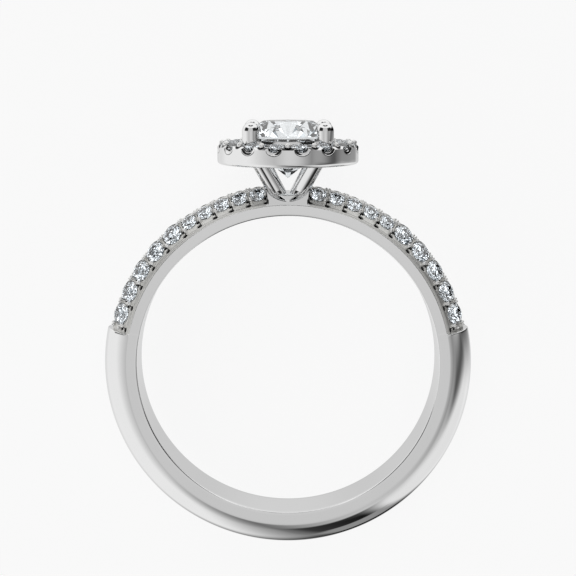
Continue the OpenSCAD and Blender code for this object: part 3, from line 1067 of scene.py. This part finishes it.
@dataclass
class Head:
    """The four legs with their claws, and the foot in which they grow out of the saddle."""

    finishes: Finishes
    claw_ring_r: float = 2.88
    claw_r: float = 0.48
    claw_top: float = 13.69
    leg_r: float = 0.45
    root_z: float = 8.6
    leg_start: float = 9.05
    elbow_z: float = 12.33
    bend: float = 0.45
    around: int = 64
    leg_rings: int = 40
    bend_rings: int = 24
    cap_rings: int = 26
    cap_end: float = 88.0
    foot_around: int = 240
    foot_rings: int = 90
    foot_low: float = 9.0
    foot_start: float = 9.4
    foot_top: float = 9.7
    foot_wide: float = 0.27
    foot_spread: float = 2.2
    foot_deep: float = 1.44
    foot_taper: float = 0.3
    foot_crown: float = 0.1
    foot_power: int = 4
    foot_edge: float = 0.15

    def leg(self, turn: float) -> Shape:
        """One leg and its claw: a round carried along a line that bends upright at the elbow.

        The line is straight, then a parabola through the elbow, then upright. The radius grows from leg to
        claw over the bend and closes as a half ball at the claw's top.

        Args:
            turn: the leg's angle about the head's axis in radians.

        Returns:
            The leg with its claw, closed at both ends.
        """
        root = np.array([0.0, self.root_z])
        elbow = np.array([self.claw_ring_r, self.elbow_z])
        foot = root + (elbow - root) * (self.leg_start - self.root_z) / (self.elbow_z - self.root_z)
        lower = np.linspace(0.0, 1.0, self.leg_rings)[:, None]
        leg_end = elbow + (foot - elbow) / np.linalg.norm(foot - elbow) * self.bend
        claw_start = elbow + np.array([0.0, self.bend])
        t = np.linspace(0.0, 1.0, self.bend_rings + 2)[1:-1, None]
        curve = (1 - t)**2 * leg_end + 2 * t * (1 - t) * elbow + t**2 * claw_start
        cap = np.radians(np.linspace(0.0, self.cap_end, self.cap_rings))
        upright = np.stack([np.full(self.cap_rings, self.claw_ring_r),
                            self.claw_top - self.claw_r * (1 - np.sin(cap))], axis=1)
        path = np.concatenate([foot + (leg_end - foot) * lower, curve, claw_start[None], upright])
        radius = np.concatenate([np.full(self.leg_rings, self.leg_r),
                                 self.leg_r + (self.claw_r - self.leg_r) * smooth_step(t[:, 0]),
                                 [self.claw_r], self.claw_r * np.cos(cap)])
        tangent = np.gradient(path, axis=0)
        tangent[-len(upright):] = [0.0, 1.0]
        tangent /= np.linalg.norm(tangent, axis=1)[:, None]
        normal = np.stack([tangent[:, 1], -tangent[:, 0]], axis=1)
        ring = np.linspace(0.0, 2 * math.pi, self.around, endpoint=False)[None, :]
        radial = path[:, :1] + radius[:, None] * normal[:, :1] * np.cos(ring)
        sideways = radius[:, None] * np.sin(ring)
        height = path[:, 1:] + radius[:, None] * normal[:, 1:] * np.cos(ring)
        x = radial * math.cos(turn) - sideways * math.sin(turn)
        y = radial * math.sin(turn) + sideways * math.cos(turn)
        return Shape.tube(np.stack([x, y, height], axis=-1))

    def foot(self) -> Shape:
        """The foot of the head: for each height and turn, how far it reaches from the head's axis.

        The reach is a smooth maximum of two: the far side of each leg's level section, an ellipse about the
        leg's line, and a squarish round that grows wider with height, up to where the legs part.

        Returns:
            The foot, closed at both ends.
        """
        turn = np.linspace(0.0, 2 * math.pi, self.foot_around, endpoint=False)[None, :]
        height = np.linspace(self.foot_low, self.foot_top, self.foot_rings)[:, None]
        spread = self.claw_ring_r / (self.elbow_z - self.root_z)
        long_r = self.leg_r * math.hypot(1.0, spread)
        reaches = []
        for number in range(4):
            off = turn - math.radians(45 + 90 * number)
            out = np.maximum(height - self.root_z, 0.0) * spread
            a = (np.cos(off) / long_r)**2 + (np.sin(off) / self.leg_r)**2
            b = out * np.cos(off) / long_r**2
            inside = b**2 - a * ((out / long_r)**2 - 1.0)
            reaches.append(np.where(inside > 0, (b + np.sqrt(np.maximum(inside, 0.0))) / a, 0.0))
        rise = np.maximum(height - self.foot_start, 0.0)
        crown = np.maximum(height - self.foot_top + self.foot_crown, 0.0) / self.foot_crown
        shut = 1.0 - np.sqrt(1.0 - np.minimum(crown, 1.0)**2)
        deep = self.foot_deep - self.foot_taper * rise - self.foot_crown * shut
        wide = self.foot_wide + self.foot_spread * rise
        flare = ((np.abs(np.cos(turn)) / wide)**self.foot_power
                 + (np.abs(np.sin(turn)) / deep)**self.foot_power)**(-1 / self.foot_power)
        total = np.zeros_like(flare)
        for reach in (*reaches, flare):
            total = -soft_min(-total, -reach, self.foot_edge)
        return Shape.tube(about_head(total, turn, height))

    def build(self) -> None:
        """Makes the foot and the four legs with their claws."""
        self.foot().build_metal("head_foot", self.finishes.polished, sharp=70)
        for number, degrees in enumerate((45, 135, 225, 315), start=1):
            self.leg(math.radians(degrees)).build_metal(
                f"leg_and_claw_{number}", self.finishes.polished, sharp=70)


@dataclass(frozen=True)
class Card:
    """A flat card hung about the ring, grey or black, with a soft edge, as the polished metal sees it.

    Azimuth is 0 towards the viewer and grows to the right, elevation is up along the standing ring's height
    and roll turns the card about the line to it, all in degrees. Half width, half height and the edge's
    softness are shares of the card's distance. Level is its brightness, with plain white as 1.
    """

    azimuth: float
    elevation: float
    roll: float
    half_w: float
    half_h: float
    soft: float
    level: float

    def axes(self) -> tuple[np.ndarray, np.ndarray, np.ndarray]:
        """Works out how the card hangs.

        Returns:
            The direction to its middle, its own right and its own up, for the standing ring.
        """
        az, el, roll = (math.radians(v) for v in (self.azimuth, self.elevation, self.roll))
        middle = np.array([math.cos(el) * math.sin(az), -math.cos(el) * math.cos(az), math.sin(el)])
        level_right = np.array([math.cos(az), math.sin(az), 0.0])
        level_up = np.cross(level_right, middle)
        right = math.cos(roll) * level_right + math.sin(roll) * level_up
        return middle, right, math.cos(roll) * level_up - math.sin(roll) * level_right

    @staticmethod
    def group() -> bpy.types.ShaderNodeTree:
        """Lays one card over the light behind it.

        The place on the card is the direction's share along the card's right and up over its share towards
        the card. The mask falls from 1 to 0 across each edge as 3x^2 - 2x^3.

        Returns:
            A group with the inputs Direction, Middle, Right, Up, Half width, Half height, Soft, Card and
            Behind, and the output Level.
        """
        group = bpy.data.node_groups.get("studio_card")
        if group:
            return group
        group = bpy.data.node_groups.new("studio_card", "ShaderNodeTree")
        for name in ("Direction", "Middle", "Right", "Up"):
            group.interface.new_socket(name, in_out="INPUT", socket_type="NodeSocketVector")
        for name in ("Half width", "Half height", "Soft", "Card", "Behind"):
            group.interface.new_socket(name, in_out="INPUT", socket_type="NodeSocketFloat")
        group.interface.new_socket("Level", in_out="OUTPUT", socket_type="NodeSocketFloat")
        inner, outer = group.nodes.new("NodeGroupInput"), group.nodes.new("NodeGroupOutput")
        shares = []
        for name in ("Middle", "Right", "Up"):
            dot = group.nodes.new("ShaderNodeVectorMath")
            dot.operation = "DOT_PRODUCT"
            group.links.new(inner.outputs["Direction"], dot.inputs[0])
            group.links.new(inner.outputs[name], dot.inputs[1])
            shares.append(dot.outputs["Value"])
        ahead = Effects.math(group, "MAXIMUM", shares[0], LEAST_SHARE)
        mask = Effects.math(group, "GREATER_THAN", shares[0], CARD_AHEAD)
        width = Effects.math(group, "MULTIPLY", inner.outputs["Soft"], 2.0)
        for share, half in zip(shares[1:], ("Half width", "Half height")):
            place = Effects.math(group, "ABSOLUTE", Effects.math(group, "DIVIDE", share, ahead))
            inside = Effects.math(group, "SUBTRACT", inner.outputs[half], place)
            ramp = Effects.math(group, "ADD", Effects.math(group, "DIVIDE", inside, width), 0.5, clamp=True)
            bend = Effects.math(group, "MULTIPLY_ADD", ramp, -2.0, 3.0)
            eased = Effects.math(group, "MULTIPLY", Effects.math(group, "MULTIPLY", ramp, ramp), bend)
            mask = Effects.math(group, "MULTIPLY", mask, eased)
        step = Effects.math(group, "SUBTRACT", inner.outputs["Card"], inner.outputs["Behind"])
        group.links.new(Effects.math(group, "MULTIPLY_ADD", mask, step, inner.outputs["Behind"]),
                        outer.inputs["Level"])
        return group


@dataclass
class Studio:
    """Floor, even light, the cards that give the metal its streaks, and the camera."""

    floor_size: float = 0.6
    target_z: float = 4.2434
    distance: float = 88.9832
    elevation: float = math.radians(8.50944)
    focal_px: float = 1567.279
    photo_px: float = 576.0
    sensor: float = 36.0
    even_level: float = 0.906
    floor_glow: float = 0.87
    floor_tone: float = 0.15
    floor_rough: float = 0.9
    clip: float = 0.002
    lamp_scale: float = 6.0
    lamp_tones: tuple[tuple[float, tuple[float, float, float]], ...] = (
        (0.0, (0.01, 0.012, 0.015)),
        (0.32, (0.17, 0.21, 0.24)),
        (0.5, (0.85, 0.9, 0.93)),
        (0.62, (2.2, 2.25, 2.3)),
    )
    cards: tuple[Card, ...] = (
        Card(-26.6, 8.2, -21.2, 0.33, 2.29, 0.72, 0.46),
        Card(80.2, -44.6, -124.8, 0.54, 0.78, 0.16, 0.84),
        Card(185.7, -2.8, -70.1, 1.13, 0.95, 0.42, 0.78),
        Card(113.8, 13.8, -1.7, 0.71, 0.38, 0.27, 0.0),
        Card(37.9, -5.9, 14.6, 0.25, 0.69, 0.66, 0.09),
        Card(67.5, -9.9, -25.1, 0.42, 0.18, 0.17, 0.10),
        Card(37.5, -67.2, -47.9, 0.19, 0.42, 0.08, 0.0),
        Card(19.0, -80.8, 60.4, 1.29, 0.15, 0.37, 0.06),
        Card(175.7, -50.5, 126.5, 0.39, 0.19, 0.33, 0.02),
        Card(159.3, -43.4, 31.0, 0.19, 0.25, 0.11, 0.02),
        Card(125.8, -65.2, 51.2, 0.17, 0.31, 0.06, 0.29),
        Card(175.1, 2.6, -2.2, 0.43, 0.25, 0.16, 0.63),
        Card(59.2, -40.4, -2.3, 0.31, 0.10, 0.32, 0.87),
        Card(0.0, 90.0, 0.0, 1.6, 1.6, 0.4, 1.0),
        Card(0.0, 25.0, 0.0, 0.4, 0.45, 0.15, 0.62),
        Card(-62.0, 24.0, 0.0, 0.5, 0.36, 0.08, 0.02),
        Card(58.0, 24.0, 0.0, 0.5, 0.36, 0.08, 0.02),
        Card(-50.0, 76.0, 0.0, 0.26, 0.14, 0.05, 0.06),
        Card(50.0, 76.0, 0.0, 0.26, 0.14, 0.05, 0.06),
    )

    def world(self) -> None:
        """Even white light from all round with the cards before it, and small lights for the stones.

        Light that has come through a stone meets a field of small lamps and gaps, cells of a Voronoi pattern
        on the direction, because cut stones break the room into many small pieces.
        """
        world = bpy.data.worlds.new("studio")
        world.use_nodes = True
        bpy.context.scene.world = world
        tree = world.node_tree
        coords = tree.nodes.new("ShaderNodeTexCoord")
        level: bpy.types.NodeSocket | None = None
        for card in self.cards:
            step = tree.nodes.new("ShaderNodeGroup")
            step.node_tree = Card.group()
            tree.links.new(coords.outputs["Generated"], step.inputs["Direction"])
            for name, axis in zip(("Middle", "Right", "Up"), card.axes()):
                step.inputs[name].default_value = POSE.turn(axis).tolist()
            step.inputs["Half width"].default_value = card.half_w
            step.inputs["Half height"].default_value = card.half_h
            step.inputs["Soft"].default_value = card.soft
            step.inputs["Card"].default_value = card.level
            if level is None:
                step.inputs["Behind"].default_value = self.even_level
            else:
                tree.links.new(level, step.inputs["Behind"])
            level = step.outputs["Level"]
        lamps = tree.nodes.new("ShaderNodeTexVoronoi")
        lamps.inputs["Scale"].default_value = self.lamp_scale
        tree.links.new(coords.outputs["Generated"], lamps.inputs["Vector"])
        tones = tree.nodes.new("ShaderNodeValToRGB")
        tones.color_ramp.interpolation = "CONSTANT"
        stops = tones.color_ramp.elements
        for number, (place, color) in enumerate(self.lamp_tones):
            stop = stops[number] if number < 2 else stops.new(place)
            stop.position = place
            stop.color = (*color, 1.0)
        split = tree.nodes.new("ShaderNodeSeparateColor")
        tree.links.new(lamps.outputs["Color"], split.inputs["Color"])
        tree.links.new(split.outputs["Red"], tones.inputs["Fac"])
        room, glints = tree.nodes["Background"], tree.nodes.new("ShaderNodeBackground")
        tree.links.new(level, room.inputs["Color"])
        tree.links.new(tones.outputs["Color"], glints.inputs["Color"])
        path, choose = tree.nodes.new("ShaderNodeLightPath"), tree.nodes.new("ShaderNodeMixShader")
        tree.links.new(path.outputs["Is Transmission Ray"], choose.inputs[0])
        tree.links.new(room.outputs[0], choose.inputs[1])
        tree.links.new(glints.outputs[0], choose.inputs[2])
        tree.links.new(choose.outputs[0], tree.nodes["World Output"].inputs["Surface"])

    def floor(self) -> None:
        """A plain pale floor that glows a little, so that it stays as even as a studio sweep."""
        size = self.floor_size / 2
        mesh = bpy.data.meshes.new("floor")
        mesh.from_pydata([(-size, -size, 0), (size, -size, 0), (size, size, 0), (-size, size, 0)],
                         [], [(0, 1, 2, 3)])
        material, shader, paper = Effects.finish("pale_floor", (self.floor_tone,) * 3, Drift=0.01, Scale=0.2)
        shader.inputs["Roughness"].default_value = self.floor_rough
        shader.inputs["Specular IOR Level"].default_value = 0.0
        shader.inputs["Emission Strength"].default_value = self.floor_glow
        shader.inputs["Emission Color"].default_value = (1.0, 1.0, 1.0, 1.0)
        material.node_tree.links.new(paper.outputs["Color"], shader.inputs["Base Color"])
        mesh.materials.append(material)
        floor = bpy.data.objects.new("floor", mesh)
        floor.visible_glossy = False
        bpy.context.scene.collection.objects.link(floor)

    def camera(self) -> None:
        """The photo's camera: level with the ring's face and a little above its middle."""
        eye = np.array([0.0, -self.distance * math.cos(self.elevation),
                        self.target_z + self.distance * math.sin(self.elevation)])
        target = np.array([0.0, 0.0, self.target_z])
        place = POSE.place(eye)
        back = POSE.turn(eye - target)
        back /= np.linalg.norm(back)
        right = np.array([1.0, 0.0, 0.0])
        up = np.cross(back, right)
        data = bpy.data.cameras.new("camera")
        data.sensor_width = self.sensor
        data.lens = self.focal_px * self.sensor / self.photo_px
        data.clip_start = self.clip
        camera = bpy.data.objects.new("camera", data)
        matrix = np.eye(4)
        matrix[:3, 0], matrix[:3, 1], matrix[:3, 2], matrix[:3, 3] = right, up, back, place
        camera.matrix_world = Matrix(matrix.tolist())
        bpy.context.scene.collection.objects.link(camera)
        bpy.context.scene.camera = camera

    def build(self) -> None:
        """Sets the stage and the plain transform from light to picture."""
        self.world()
        self.floor()
        self.camera()
        bpy.context.scene.view_settings.view_transform = "Standard"


@dataclass(frozen=True)
class CenterStone:
    """The centre stone, its girdle a little thicker than the small ones' and just above the halo's lip."""

    diameter: float = 5.1
    girdle_z: float = 12.68
    girdle_share: float = 0.043
    crown_share: float = 0.157
    pavilion_share: float = 0.43

    def build(self, finishes: Finishes) -> None:
        """Makes the stone with its axis along the head's."""
        cut = BrilliantCut(self.diameter, crown_share=self.crown_share, girdle_share=self.girdle_share,
                           pavilion_share=self.pavilion_share)
        cut.shape().moved(np.eye(3), np.array([0.0, 0.0, self.girdle_z])).build_stone(
            "center_brilliant", finishes.center, Slot.CENTER, "center_stone")


def main() -> None:
    """Builds the ring's pieces in order and the studio round them."""
    logging.basicConfig(level=logging.INFO)
    finishes = Finishes()
    sizes = BandSizes()
    Band(sizes, finishes).build()
    for side in Side:
        Shoulder(side, sizes, finishes).build()
    Halo(sizes, finishes).build()
    Head(finishes).build()
    CenterStone().build(finishes)
    Studio().build()


if __name__ == "__main__":
    main()
